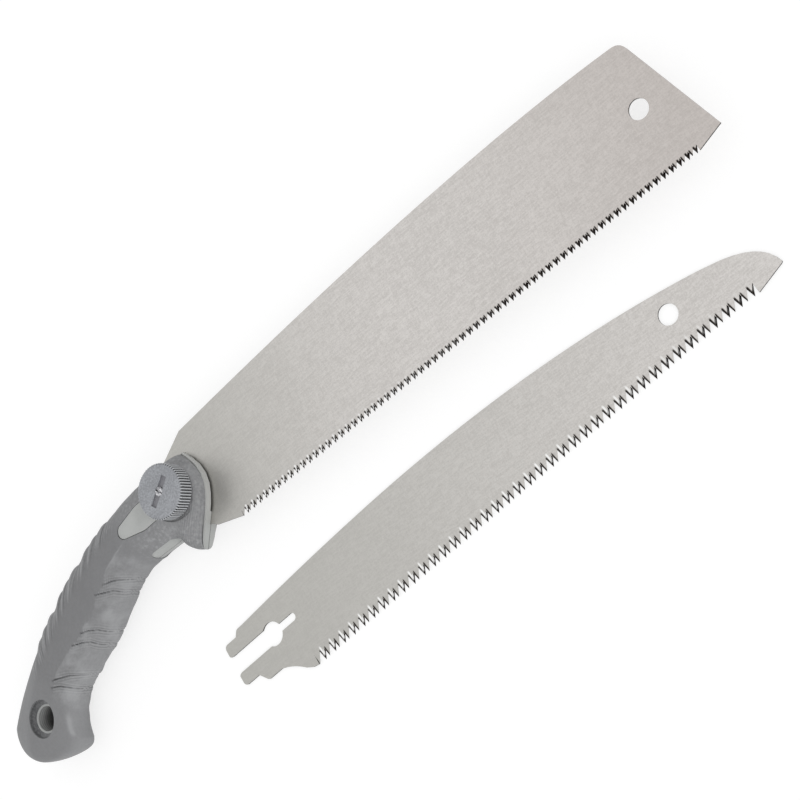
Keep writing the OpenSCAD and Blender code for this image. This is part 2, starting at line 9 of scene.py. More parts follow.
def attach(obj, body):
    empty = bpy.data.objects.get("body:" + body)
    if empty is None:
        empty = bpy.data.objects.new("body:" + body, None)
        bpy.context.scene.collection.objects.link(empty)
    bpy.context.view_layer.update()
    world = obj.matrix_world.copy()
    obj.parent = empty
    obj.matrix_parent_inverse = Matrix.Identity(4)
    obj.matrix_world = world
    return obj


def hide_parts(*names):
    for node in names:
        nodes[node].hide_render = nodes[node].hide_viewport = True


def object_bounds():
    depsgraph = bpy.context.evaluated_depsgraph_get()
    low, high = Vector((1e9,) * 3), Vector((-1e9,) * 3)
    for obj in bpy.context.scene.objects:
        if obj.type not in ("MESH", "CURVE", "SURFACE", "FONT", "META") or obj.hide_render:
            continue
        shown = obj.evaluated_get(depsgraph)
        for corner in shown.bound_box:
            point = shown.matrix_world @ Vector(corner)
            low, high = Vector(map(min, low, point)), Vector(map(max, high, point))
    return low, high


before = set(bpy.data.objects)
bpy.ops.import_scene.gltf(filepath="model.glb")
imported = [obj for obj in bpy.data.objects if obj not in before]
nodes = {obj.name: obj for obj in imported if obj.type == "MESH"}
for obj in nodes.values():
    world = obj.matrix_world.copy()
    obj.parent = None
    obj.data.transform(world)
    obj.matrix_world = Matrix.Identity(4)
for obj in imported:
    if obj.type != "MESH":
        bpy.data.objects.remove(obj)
solid_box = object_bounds()

# The two halves of the handle's core, injection moulded in light grey glass-filled nylon.
# They meet on the blade's plane and show as the guard's rim, the tongue behind the knob,
# the bare strip by the fingers and the rim of the hanging hole.
CORE_GREY = (0.395, 0.405, 0.397, 1)
CORE_PALE = (0.455, 0.465, 0.455, 1)
CORE_RIM_HIGHLIGHT = (0.50, 0.505, 0.49, 1)
BORE_MOUTH = (0.46, 0.465, 0.46, 1)
BORE_SHADED = (0.03, 0.028, 0.027, 1)
SEAM = (0.09, 0.092, 0.09, 1)
BORE_EDGE = (0.00672, 0.00695)
BORE_LIT = (-0.0040, 0.0050)
RIM_FROM = (0.142, 0.150)
SEAM_HALF = (0.00012, 0.00026)


class Wire:
    """A value on its way through a finish: arithmetic on it adds Math nodes."""

    def __init__(self, tree, socket=None):
        self.tree = tree
        self.socket = socket

    def node(self, kind, settings, sockets, out=0):
        """Adds a node: first its settings, then the values or links of its sockets."""
        made = self.tree.nodes.new(kind)
        for name, value in settings.items():
            setattr(made, name, value)
        for name, value in sockets.items():
            if isinstance(value, Wire):
                self.tree.links.new(value.socket, made.inputs[name])
            else:
                made.inputs[name].default_value = value
        return Wire(self.tree, made.outputs[out] if len(made.outputs) else None)

    def math(self, operation, first, second):
        return self.node("ShaderNodeMath", {"operation": operation}, {0: first, 1: second})

    def __add__(self, other):
        return self.math("ADD", self, other)

    def __radd__(self, other):
        return self.math("ADD", other, self)

    def __sub__(self, other):
        return self.math("SUBTRACT", self, other)

    def __rsub__(self, other):
        return self.math("SUBTRACT", other, self)

    def __mul__(self, other):
        return self.math("MULTIPLY", self, other)

    def __rmul__(self, other):
        return self.math("MULTIPLY", other, self)

    def over(self, low, high):
        """0 below low, 1 above high, and smooth between them."""
        return self.node("ShaderNodeMapRange", {"interpolation_type": "SMOOTHSTEP"},
                         {"Value": self, "From Min": low, "From Max": high})

    def blend(self, colour, other):
        """The first colour where this value is 0, the other where it is 1."""
        return self.node("ShaderNodeMix", {"data_type": "RGBA"}, {0: self, 6: colour, 7: other}, out=2)


def new_finish(name):
    """An empty finish, as its material and the wire that its nodes start from."""
    material = bpy.data.materials.new(name)
    material.use_nodes = True
    material.node_tree.nodes.clear()
    return material, Wire(material.node_tree)


def place_on(start):
    """The place on the piece, in metres."""
    return start.node("ShaderNodeTexCoord", {}, {}, out=3)


X, Z = 0, 2


def part_of(vector, axis):
    """One of a vector's three numbers."""
    return vector.node("ShaderNodeSeparateXYZ", {}, {"Vector": vector}, out=axis)


def off_axis(place, x=0, y=0):
    """How far a place is from an upright axis."""
    flat = place.node("ShaderNodeVectorMath", {"operation": "SUBTRACT"}, {0: place, 1: (x, y, 0)})
    flat = place.node("ShaderNodeVectorMath", {"operation": "MULTIPLY"}, {0: flat, 1: (1, 1, 0)})
    return place.node("ShaderNodeVectorMath", {"operation": "LENGTH"}, {0: flat}, out=1)


def grain(start, place, scale, detail, drawn=None):
    """Noise at so many grains to the metre, times a share for each axis where it is drawn out."""
    if drawn is not None:
        place = start.node("ShaderNodeVectorMath", {"operation": "MULTIPLY"}, {0: place, 1: drawn})
    return start.node("ShaderNodeTexNoise", {}, {"Vector": place, "Scale": scale, "Detail": detail})


def surface(start, height, depth, sockets):
    """Closes a finish: its relief in metres, and what goes on the shader's own sockets."""
    relief = start.node("ShaderNodeBump", {}, {"Height": height, "Distance": depth, "Strength": 1.0})
    shader = start.node("ShaderNodeBsdfPrincipled", {}, {**sockets, "Normal": relief})
    start.node("ShaderNodeOutputMaterial", {}, {"Surface": shader})


def dress(piece, material):
    """Gives a piece one finish all over."""
    piece.data.materials.clear()
    piece.data.materials.append(material)


nylon, start = new_finish("light_nylon")
place = place_on(start)
cloudy = grain(start, place, 60, 3)
fine = grain(start, place, 1500, 2)
outside = off_axis(place).over(*BORE_EDGE)
moulded = (cloudy * 0.7 + fine * 0.3).over(0.35, 0.65).blend(CORE_GREY, CORE_PALE)
# A painted highlight: the guard's rim is painted paler than the rest of the core
moulded = part_of(place, X).over(*RIM_FROM).blend(moulded, CORE_RIM_HIGHLIGHT)
level = part_of(place, Z)
# Painted shade in the bore: its wall is painted dark towards the far side and light towards the near mouth,
# banded in rings
rings = start.math("SINE", level * 4200, 0)
bore = (level.over(*BORE_LIT) * (0.78 + rings * 0.22)).blend(BORE_SHADED, BORE_MOUTH)
seam = (1 - start.math("ABSOLUTE", level, 0).over(*SEAM_HALF)) * outside
surface(start, fine, 0.00004, {
    "Base Color": seam.blend(outside.blend(bore, moulded), SEAM),
    "Roughness": 0.42 + fine * 0.16,
    "Specular IOR Level": 0.45,
})
for half in ("core_near", "core_far"):
    dress(nodes[half], nylon)

# The six-sided steel nut, zinc plated, that is pressed into its pocket in the far half.
# The clamp bolt screws into it from the knob's side.
ZINC = (0.60, 0.61, 0.63, 1)
ZINC_DULL = (0.46, 0.465, 0.48, 1)

zinc, start = new_finish("zinc_plate")
place = place_on(start)
bloom = grain(start, place, 350, 4)
turned = grain(start, place, 900, 2, (1, 1, 6))
surface(start, turned, 0.00002, {
    "Base Color": bloom.over(0.38, 0.66).blend(ZINC_DULL, ZINC),
    "Roughness": 0.24 + bloom * 0.22,
    "Metallic": 1.0,
})
dress(nodes["clamp_nut"], zinc)

# The dark grey rubber, moulded over both halves of the core in one shot.
# It has scallops and fine ribs under the palm, creased pads under the fingers,
# and windows for the tongue, the knob, the bare strip and the hanging hole.
RUBBER_DARK = (0.187, 0.188, 0.193, 1)
RUBBER_PALE = (0.315, 0.318, 0.325, 1)
RUBBER_WORN_AND_GLINT = (0.40, 0.405, 0.415, 1)
RUBBER_CREASE_SHADE = (0.05, 0.05, 0.053, 1)
MM = 0.001
CLAMP = np.array([139.0, 54.0])
SIDES = 160
RUBBER = 1.6
NECK_RUBBER = 0.6
BUTT_DEEP = 17.1
BUTT_TO_PALM = 9.7
BUTT_ROUND = 1.7
TOE_SWELL = 103.6
CAP_RINGS = 36

# Cross-sections from the guard to the butt: centre, turn, half widths to the palm and to the fingers,
# half thickness, forward bow and squareness, in millimetres and degrees
sections = np.array([
    [141.378, 47.383, -13.5, 25.6, 25.6, 6.2, 11.8, 3.4],
    [138.1, 48.4, -13.0, 25.5, 25.5, 9.6, 13.4, 3.4],
    [132.5, 51.0, -10.0, 23.113, 23.113, 11.8, 15.8, 3.2],
    [127.2, 52.8, -3.0, 19.9125, 18.1825, 12.8, 14.8, 3.0],
    [121.2, 53.5, 2.0, 18.35, 19.55, 13.0, 7.08, 2.8],
    [101.47, 53.0, 5.7, 17.75, 18.65, 13.0, 0.0, 2.8],
    [87.153, 50.382, 16.0, 17.55, 17.25, 14.0, 0.0, 2.5],
    [69.222, 42.606, 23.6, 19.4, 19.4, 15.5, 0.0, 2.3],
    [48.928, 33.48, 28.0, 20.75, 20.75, 15.5, 0.0, 2.3],
    [30.858, 24.84, 28.0, 19.7875, 19.7875, 14.125, 0.0, 2.3],
    [16.944, 18.392, 33.0, 18.0, 17.8, 12.75, 0.0, 2.3],
    [3.558, 4.736, 41.8, 22.005, 21.128, 11.1, 0.0, 2.4],
    [-3.558, -7.063, 54.8, 27.1, 24.1, 10.0, 0.0, 2.5],
])
LAST = len(sections) - 1


def section_at(where):
    """Sections at places along the grip, on a smooth curve through the ones above."""
    i = np.clip(np.floor(where).astype(int), 0, LAST - 1)
    f = (where - i)[:, None]
    a, b = sections[np.clip(i - 1, 0, LAST)], sections[i]
    c, d = sections[i + 1], sections[np.clip(i + 2, 0, LAST)]
    return 0.5 * (2 * b + (c - a) * f + (2 * a - 5 * b + 4 * c - d) * f**2 + (3 * b - a - 3 * c + d) * f**3)


def ramp(value, low, high):
    """0 below low, 1 above high, and smooth between them."""
    t = np.clip((value - low) / (high - low), 0, 1)
    return t * t * (3 - 2 * t)


def bell(value, width):
    """1 at 0, falling off smoothly on both sides."""
    return np.exp(-(value / width) ** 2)


def on_stretch(first, full, last, gone):
    """1 on a stretch of the grip, fading in and out at its ends."""
    return (ramp(along, first, full) * (1 - ramp(along, last, gone)))[:, None]


def butt_cap(row, depth, steps):
    """Sections that close the butt behind the last one, with a toe that swells by the fingers."""
    far = np.sin(np.radians(88 * np.arange(1, steps + 1) / steps))
    size = (1 - far**BUTT_ROUND) ** (1 / BUTT_ROUND)
    to_palm = BUTT_TO_PALM * far**2
    turn = math.radians(row[2])
    rows = np.tile(row, (steps, 1))
    rows[:, 0] += -math.cos(turn) * depth * far - math.sin(turn) * to_palm
    rows[:, 1] += -math.sin(turn) * depth * far + math.cos(turn) * to_palm
    rows[:, 3:6] *= size[:, None]
    rows[:, 4] += TOE_SWELL * far**2 * (1 - far) ** 5.35
    return rows


def skin(rows, angle):
    """Points of the sections at angles from the palm, over the knob side, to the fingers.
    Also how far across each is, from 1 at the palm to -1 at the fingers."""
    x, y, turn, palm, fingers, thick, bow, square = (rows[:, k:k + 1] for k in range(8))
    c, s = np.cos(angle)[None], np.sin(angle)[None]
    radius = (np.abs(c) ** square + np.abs(s) ** square) ** (-1 / square)
    q = radius * c
    u = (1 - q) / 2
    across = q * np.where(q > 0, palm, fingers)
    forward = bow * 4 * u * (1 - u) * (1.5 - 1.06 * u)
    turn = np.radians(turn)
    points = np.stack([x - np.sin(turn) * across + np.cos(turn) * forward,
                       y + np.cos(turn) * across + np.sin(turn) * forward, radius * s * thick], -1)
    return points, q


angle = np.radians(360 * np.arange(SIDES) / SIDES)
along = np.concatenate([np.arange(0, 4, 0.08), np.arange(4, LAST, 0.02), [LAST]])
rows = section_at(along)
outer, q = skin(np.concatenate([rows, butt_cap(rows[-1], BUTT_DEEP, CAP_RINGS)]), angle)
along = np.concatenate([along, LAST + np.arange(1, CAP_RINGS + 1) / CAP_RINGS])
outward = np.cross(np.roll(outer, -1, 1) - np.roll(outer, 1, 1), np.gradient(outer, axis=0))
outward /= np.maximum(np.linalg.norm(outward, axis=2, keepdims=True), 1e-9)
outward *= np.sign(outward[len(rows) // 2, SIDES // 4, 2])
half_w = np.linalg.norm(outer[:, 0] - outer[:, SIDES // 2], axis=1)[:, None] / 2

# Scallops lie like scales along the palm side, two small ones and a deep one to each finger,
# and fine ribs run in from them over the palm
notches = np.array([5.51, 5.96, 6.29, 6.80, 7.30, 7.63, 8.20, 8.63, 9.03, 9.57])
crests = np.array([5.69, 6.13, 6.47, 7.07, 7.42, 7.73, 8.39, 8.82, 9.25])
edge_along = [3.5, 4.1, 4.24, 4.64, 5.0, 5.51, 5.69, 5.87, 5.96, 6.13, 6.29, 6.47, 6.69, 6.97, 7.09,
              7.30, 7.42, 7.60, 7.73, 7.90, 8.05, 8.33, 8.43, 8.63, 8.82, 9.03, 9.25, 9.57, 10.07]
edge_height = [0, 0.6, 0.6, 0, -0.7, -0.85, 0.15, -0.1, -0.65, 0.3, -0.2, 0.4, -0.6, -0.65, 0.6,
               -0.1, 0.4, -0.9, 0.25, -0.6, -0.95, -1.0, 0.45, -0.1, 0.8, 0.2, 0.75, -0.2, 0]
inward = (1 - q) * half_w
slanted = along[:, None] - 0.045 * inward
lift = np.interp(slanted, edge_along, edge_height) * ramp(q, 0.35, 0.82)
feather = ramp(q, 0.2, 0.55) * on_stretch(5.0, 5.6, 9.9, 10.6)
in_notch = bell(np.abs(slanted[:, :, None] - notches).min(2), 0.04) * feather
on_crest = bell(np.abs(slanted[:, :, None] - crests).min(2), 0.04) * feather

# The border between the smooth palm panel and the finger pads, as its place along and its place across
border_along = [5.0, 5.5, 6.1, 6.45, 6.6, 6.76, 7.1, 7.4, 7.7,
                8.0, 8.16, 8.58, 8.91, 9.39, 9.91, 10.3, 10.85]
border_across = [-.18, -.25, -.30, -.32, -.37, -.46, -.39, -.47, -.50,
                 -.43, -.49, -.40, -.34, -.32, -.33, -.32, -.36]
border = np.interp(along, border_along, border_across)[:, None]
pad_ends = on_stretch(5.0, 5.6, 10.36, 10.8)
to_border = (border - q) * half_w
on_pad = ramp(to_border, -0.3, 0.6) * pad_ends
lift += 0.2 * on_pad - 0.16 * bell(to_border, 0.5) * pad_ends

# The finger edge's lobes, as their place along and how far they stand out
fingers_along = [4.7, 5.0, 5.3, 5.8, 6.0, 6.35, 6.5, 6.8, 7.05, 7.25, 7.5, 7.65,
                 7.9, 8.35, 8.55, 8.95, 9.1, 9.3, 9.5, 9.9, 10.1, 10.3, 10.65, 10.95]
fingers_height = [0, -.5, -.4, -.6, -.4, -.5, -1.1, -1.4, -1.5, -1.8, -1.7, -1.3,
                  -.8, -.5, -1.3, -1.5, -.9, 0, .3, 1.0, 1.0, 0, -.5, 0]
lift += np.interp(along, fingers_along, fingers_height)[:, None] * ramp(-q, 0.35, 0.8)

# Creases run from the border round the fingers' side, sharp where they start and broad where they end,
# and the pads swell between them. Each crease is also painted dark as painted shade, most where it is sharp
creases = [
    [(6.80, -.42), (6.58, -.59), (6.44, -.75), (6.26, -.96), (6.22, -1)],
    [(7.14, -.36), (6.96, -.55), (6.78, -.74), (6.70, -.95), (6.66, -1)],
    [(8.20, -.45), (8.02, -.61), (7.90, -.80), (7.86, -.96), (7.84, -1)],
    [(8.62, -.38), (8.42, -.57), (8.28, -.75), (8.26, -.94), (8.24, -1)],
    [(10.11, -.28), (9.82, -.57), (9.60, -.72), (9.40, -.91), (9.30, -1)],
    [(10.32, -.27), (10.14, -.57), (10.07, -.78), (10.04, -.93), (10.02, -1)],
]
pad_swell = np.zeros_like(lift)
for top, foot in ((5.75, 0.5), (7.35, 0.5), (8.95, 0.55), (10.4, 0.25)):
    pad_swell += bell(along[:, None] + 0.35 * (q + 0.8) - top, foot)
lift += 0.5 * pad_swell * ramp(to_border, 0, 8)
near_side = np.abs(outer) * [0, 0, 1] + outer * [1, 1, 0]
painted_groove_shade = np.zeros_like(lift)
nearest = np.full(lift.shape, 1e9)
for crease in creases:
    path = np.array(crease)
    t = np.linspace(0, 1, 33)
    steps = np.linspace(0, 1, len(path))
    near = np.full(lift.shape, 1e9)
    depth, width = np.zeros_like(lift), np.ones_like(lift)
    for t_here, where, reach in zip(t, np.interp(t, steps, path[:, 0]), np.interp(t, steps, path[:, 1])):
        points, reached = skin(section_at(np.array([where])), np.radians(np.linspace(0, 180, 361)))
        gap = np.linalg.norm(near_side - points[0, np.argmin(np.abs(reached[0] - reach))], axis=2)
        closer = gap < near
        near = np.where(closer, gap, near)
        depth = np.where(closer, (0.9 - 0.4 * t_here) * min(1, t_here * 7 + 0.4), depth)
        width = np.where(closer, 0.34 + 0.9 * t_here, width)
    nearest = np.minimum(nearest, near)
    lift -= depth * bell(near, width)
    painted_groove_shade = np.maximum(painted_groove_shade, bell(near, 0.26 + 0.14 * width) * np.clip(1.6 - 1.2 * width, 0, 1))
# Painted shade also darkens the step of each scallop
painted_groove_shade = np.maximum(painted_groove_shade, 0.55 * in_notch)

# Wrinkles follow the creases, and a soft shoulder stands beside the hanging hole,
# where the butt turns over to the fingers. All of it stays inside the solids' box
wrinkles = np.cos(2 * np.pi * nearest / 1.5) * bell(nearest, 2.6) * on_pad
lift -= 0.10 * wrinkles
lift += 0.4 * bell(q + 0.73, 0.10) * on_stretch(10.37, 10.9, 11.3, 11.9)
low, high = (np.array(corner) / MM for corner in solid_box)
outer = np.clip(outer + outward * lift[:, :, None], low, high)

# The rubber is darkest on the smooth palm panel, and paler on the neck, the butt and the pads, with a paler
# line on the first pad's border.
# Painted light: the fingers' side and the palm's edge are painted paler as painted sheen, the scallops'
# crests carry a painted highlight, the wrinkles painted shade and highlight, the guard's top end painted
# shade, and the butt's shoulder a painted highlight streak
neck = 1 - ramp(along, 4.5, 5.7)[:, None]
heel = ramp(along, 10.0, 11.0)[:, None]
paleness_and_painted_light = 0.34 * neck + 0.16 * heel
paleness_and_painted_light = paleness_and_painted_light + (0.12 * on_pad + 0.45 * ramp(-q, 0.6, 0.97) + 0.42 * ramp(q, 0.3, 0.6)) * (1 - neck)
paleness_and_painted_light += 0.75 * on_crest + 0.02 * on_pad - 0.9 * wrinkles
paleness_and_painted_light += 0.5 * bell(to_border - 0.1, 0.35) * on_stretch(5.0, 5.4, 6.5, 6.9)
paleness_and_painted_light += 0.85 * bell(q + 0.79, 0.055) * on_stretch(10.7, 11.1, 11.6, 12.0)
paleness_and_painted_light *= 1 - 0.8 * ramp(q, 0.45, 0.9) * (1 - ramp(along, 2, 3.2))[:, None]

# The face that lies on the core, with a thinner wall by the fingers at the neck
inner_along = np.concatenate([np.arange(0, LAST, 0.25), [LAST]])
rows = section_at(inner_along)
rows[:, 3] -= RUBBER
rows[:, 4] -= NECK_RUBBER + (RUBBER - NECK_RUBBER) * np.clip((inner_along - 5.5) * 0.8, 0, 1)
rows[:, 5] -= RUBBER
inner = skin(np.concatenate([rows, butt_cap(rows[-1], BUTT_DEEP - RUBBER, 8)]), angle)[0]


def tube_faces(rings, first, flip):
    """Quads between rings of points, and the fan that closes the last ring."""
    faces = []
    for i in range(rings - 1):
        for j in range(SIDES):
            k = (j + 1) % SIDES
            a, b = first + i * SIDES, first + (i + 1) * SIDES
            face = (a + j, a + k, b + k, b + j)
            faces.append(face[::-1] if flip else face)
    end = tuple(first + (rings - 1) * SIDES + j for j in range(SIDES))
    faces.append(end[::-1] if flip else end)
    return faces


def new_piece(name, points, faces):
    """A mesh object from points in millimetres."""
    mesh = bpy.data.meshes.new(name)
    mesh.from_pydata((np.asarray(points) * MM).tolist(), [], faces)
    mesh.validate()
    piece = bpy.data.objects.new(name, mesh)
    bpy.context.scene.collection.objects.link(piece)
    return piece


split = len(outer) * SIDES
faces = tube_faces(len(outer), 0, False) + tube_faces(len(inner), split, True)
for j in range(SIDES):
    k = (j + 1) % SIDES
    faces.append((k, j, split + j, split + k))
grip = new_piece("rubber_grip", np.concatenate([outer.reshape(-1, 3), inner.reshape(-1, 3)]), faces)


def prism(outline, low, high):
    """A straight-sided tool for cutting a window, from an outline in the blade's plane."""
    count = len(outline)
    points = [(x, y, low) for x, y in outline] + [(x, y, high) for x, y in outline]
    faces = [tuple(range(count))[::-1], tuple(range(count, 2 * count))]
    faces += [(i, (i + 1) % count, count + (i + 1) % count, count + i) for i in range(count)]
    return points, faces


def circle(centre, radius, first=0, last=360, count=96):
    """A circle's points, or an arc's between two angles in degrees."""
    turn = np.radians(np.linspace(first, last, count, endpoint=last - first < 360))
    return [(centre[0] + radius * math.cos(a), centre[1] + radius * math.sin(a)) for a in turn]


def carve(piece, tool):
    """Takes a closed tool's space out of a piece."""
    cutter = new_piece("cutter", *tool)
    cut = piece.modifiers.new("cut", "BOOLEAN")
    cut.operation, cut.solver, cut.object = "DIFFERENCE", "EXACT", cutter
    bpy.context.view_layer.update()
    whole = piece.evaluated_get(bpy.context.evaluated_depsgraph_get())
    carved = bpy.data.meshes.new_from_object(whole)
    piece.modifiers.clear()
    piece.data = carved
    bpy.data.objects.remove(cutter)


# The recess of the hanging hole is round by the palm, and drawn in close to the bore on the fingers' side
RECESS, DRAWN_IN, BORE_RIM = 10.4, 8.2, 7.8
to_fingers, beside = np.array([0.846, -0.533]), np.array([0.533, 0.846])


def around_hole(turn, radius):
    """A point round the hanging hole, as far from its axis as the recess lets that radius be."""
    reach = radius
    if math.cos(turn) > 0 and radius > BORE_RIM:
        reach = BORE_RIM + (radius - BORE_RIM) * (DRAWN_IN - BORE_RIM) / (RECESS - BORE_RIM)
    return tuple(reach * math.cos(turn) * to_fingers + radius * math.sin(turn) * beside)


# Windows down to the core: the tongue, the knob's well and the washer's seat in it, the nut,
# the recess on both sides and the blade's slot
CORE_FACE, RECESS_FLOOR, SLOT_HALF, CLEAR = 6.5, 6.7, 0.75, 40
TONGUE_TIP, TONGUE_HALF, TONGUE_ROOT = 4.35, 7.35, -12.3
KNOB_WELL, WELL_FLOOR = 15.3, 10.7
WASHER_SEAT, SEAT_FLOOR = 11.4, 8.7
NUT_WINDOW = 8.5
tip, belly = CLAMP + [-37, -0.3], CLAMP + [-23.78, -0.3]
tongue = circle(tip, TONGUE_TIP, 104, 256, 40) + circle(belly, TONGUE_HALF, 256, 270, 8)
tongue += [tuple(CLAMP + [TONGUE_ROOT, -TONGUE_HALF]), tuple(CLAMP + [TONGUE_ROOT, TONGUE_HALF])]
tongue += circle(belly, TONGUE_HALF, 90, 104, 8)
carve(grip, prism(tongue, CORE_FACE, CLEAR))
carve(grip, prism(circle(CLAMP, KNOB_WELL), WELL_FLOOR, CLEAR))
carve(grip, prism(circle(CLAMP, WASHER_SEAT), SEAT_FLOOR, CLEAR))
carve(grip, prism(circle(CLAMP, NUT_WINDOW), -CLEAR, -CORE_FACE))
hole_recess = [around_hole(turn, RECESS) for turn in np.radians(np.arange(0, 360, 3.75))]
carve(grip, prism(hole_recess, RECESS_FLOOR, CLEAR))
carve(grip, prism(hole_recess, -CLEAR, -RECESS_FLOOR))
blade_slot = [(-17.3, 15.3), (12.3, 30.4), (60, 42), (60, -34),
              (9, -25.7), (2, -20.2), (-5, -17.7), (-14.2, -17.7)]
carve(grip, prism([tuple(CLAMP + p) for p in blade_slot][::-1], -SLOT_HALF, SLOT_HALF))

# The bare strip's window is cut from the fingers' side, so its outline is drawn lengthways and upright
STRIP_ROUND, STRIP_FROM, STRIP_TO = 3.5, 18.5, 40
strip = []
for corner, first in (((121.5, -5.5), 270), ((121.5, 4), 0), ((109.5, 4), 90), ((109.5, -5.5), 180)):
    strip += circle(corner, STRIP_ROUND, first, first + 90, 8)
points, faces = prism(strip, STRIP_FROM, STRIP_TO)
carve(grip, ([(x, y, z) for x, z, y in points], [face[::-1] for face in faces]))

# Each point remembers its place along and round the grip, how pale it is painted, partly as painted light,
# and how much painted shade lies in its creases
lookup = kdtree.KDTree(split)
for i, point in enumerate(outer.reshape(-1, 3) * MM):
    lookup.insert(point, i)
lookup.balance()
found = [lookup.find(v.co)[1] for v in grip.data.vertices]
length = np.concatenate([[0], np.cumsum(np.linalg.norm(np.diff(outer.mean(1), axis=0), axis=1))])
memory = {"along": np.repeat(length, SIDES), "edge": q, "pad": on_pad, "painted_groove_shade": painted_groove_shade, "paleness_and_painted_light": paleness_and_painted_light,
          "rib": slanted, "palm": feather}
for name, values in memory.items():
    layer = grip.data.attributes.new(name, "FLOAT", "POINT")
    layer.data.foreach_set("value", values.reshape(-1)[found].astype(np.float32))
grip.data.shade_smooth()
grip.data.set_sharp_from_angle(angle=math.radians(40))

rubber, start = new_finish("grip_rubber")
place = place_on(start)
down, edge, pad, painted_groove_shade, paleness_and_painted_light, rib, palm = (
    start.node("ShaderNodeAttribute", {"attribute_name": name}, {}, out=2) for name in memory)
cloudy = grain(start, place, 45, 3)
patchy = grain(start, place, 95, 3, (1, 1.4, 1))
speckle = grain(start, place, 560, 2)
fine = grain(start, place, 1100, 3)
neck = 1 - down.over(36, 50)
lines = start.math("SINE", down * 5.2 + cloudy * 3, 0) * (1 - down.over(8, 13)) * (1 - edge.over(-0.5, 0.2))
# The ribs also paint the palm lighter on their ridges and darker in their valleys, as painted highlight and
# shade
ribs = start.math("SINE", rib * 38 + cloudy * 4, 0) * palm * speckle.over(0.30, 0.60)
mottled = (cloudy * 0.35 + speckle * 0.35 + fine * 0.30).over(0.36, 0.64)
lightness = paleness_and_painted_light * 0.8 + mottled * (0.16 + pad * 0.14 + neck * 0.40) + ribs * 0.42
grey = lightness.blend(RUBBER_DARK, RUBBER_PALE)
guard = down.over(6, 9) * (1 - down.over(15, 20)) * edge.over(-0.35, -0.05) * (1 - edge.over(0.35, 0.7))
rubbed_and_glints = patchy.over(0.42, 0.70) * pad * 0.40 + speckle.over(0.52, 0.72) * neck * 0.30
# Painted glints: speckles on the guard's inner slope are painted pale, as painted highlights
rubbed_and_glints = rubbed_and_glints + speckle.over(0.50, 0.60) * guard * 0.95
# Painted shade in the creases, the scallops' steps and the valleys of the guard's mould lines
groove_shade = painted_groove_shade * 0.9 + (1 - lines.over(-0.9, -0.2)) * 0.09
surface(start, fine * 0.30 + speckle * 0.35 + lines * 0.6 + ribs * 0.8, 0.00014, {
    "Base Color": groove_shade.blend(rubbed_and_glints.blend(grey, RUBBER_WORN_AND_GLINT), RUBBER_CREASE_SHADE),
    "Roughness": 0.46 + fine * 0.16 - pad * 0.04,
    "Specular IOR Level": 0.45,
})
dress(grip, rubber)
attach(grip, "handle")
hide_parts("grip_sleeve")

# The rubber also lines the recess on both sides of the hanging hole, down to the bore's bare rim.
# It is the same shot of rubber, turned in over the core.
RECESS_SHADED = (0.085, 0.087, 0.09, 1)
RECESS_PALE = (0.25, 0.252, 0.257, 1)
TURNS = 96
near_rim = [(7.8, 6.72), (7.95, 6.9), (8.5, 6.98), (9.3, 7.15), (9.9, 7.6),
            (10.15, 8.3), (10.25, 9.2), (10.38, 9.2), (10.38, 6.72)]
far_rim = [(6.75, 6.72), (6.75, 8.3), (6.95, 8.5), (7.4, 8.5), (7.6, 8.3), (7.7, 7.1)] + near_rim[2:]
points, faces = [], []
for side, rim in ((1, near_rim), (-1, far_rim)):
    first, count = len(points), len(rim)
    for i in range(TURNS):
        a = 2 * math.pi * i / TURNS
        points += [(*around_hole(a, r), side * z) for r, z in rim]
    for i in range(TURNS):
        here, then = first + i * count, first + (i + 1) % TURNS * count
        for k in range(count):
            m = (k + 1) % count
            face = (here + k, here + m, then + m, then + k)
            faces.append(face if side > 0 else face[::-1])
lining = new_piece("hanging_hole_lining", points, faces)
lining.data.shade_smooth()
lining.data.set_sharp_from_angle(angle=math.radians(50))


def along_line(place, line):
    """How far a place lies along a line."""
    return place.node("ShaderNodeVectorMath", {"operation": "DOT_PRODUCT"}, {0: place, 1: line}, out=1)


lined, start = new_finish("lining_rubber")
place = place_on(start)
fine = grain(start, place, 900, 3)
# Painted shade: the lining is darker on one side of the hole and paler on the other, as if lit from one side
painted_shade_side = along_line(place, (-90, 44, 0)).over(-0.45, 0.8)
surface(start, fine, 0.00005, {
    "Base Color": (fine.over(0.35, 0.65) * 0.3 + painted_shade_side * 0.7).blend(RECESS_PALE, RECESS_SHADED),
    "Roughness": 0.5 + fine * 0.15,
    "Specular IOR Level": 0.45,
})
dress(lining, lined)
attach(lining, "handle")

# The wide saw blade, ground and satin brushed spring steel with a nickel finish.
# Its forked tang lies in the slot between the halves; the teeth are ground on alternate sides, and their
# bevels carry painted dark and bright reflections.
STEEL = (0.625, 0.601, 0.577, 1)
STEEL_PALE = (0.709, 0.685, 0.662, 1)
STEEL_COOL = (0.515, 0.508, 0.480, 1)
STEEL_TIP = (0.497, 0.444, 0.416, 1)
DARK_REFLECTION = (0.036, 0.030, 0.026, 1)
BRIGHT_REFLECTION = (0.93, 0.93, 0.92, 1)


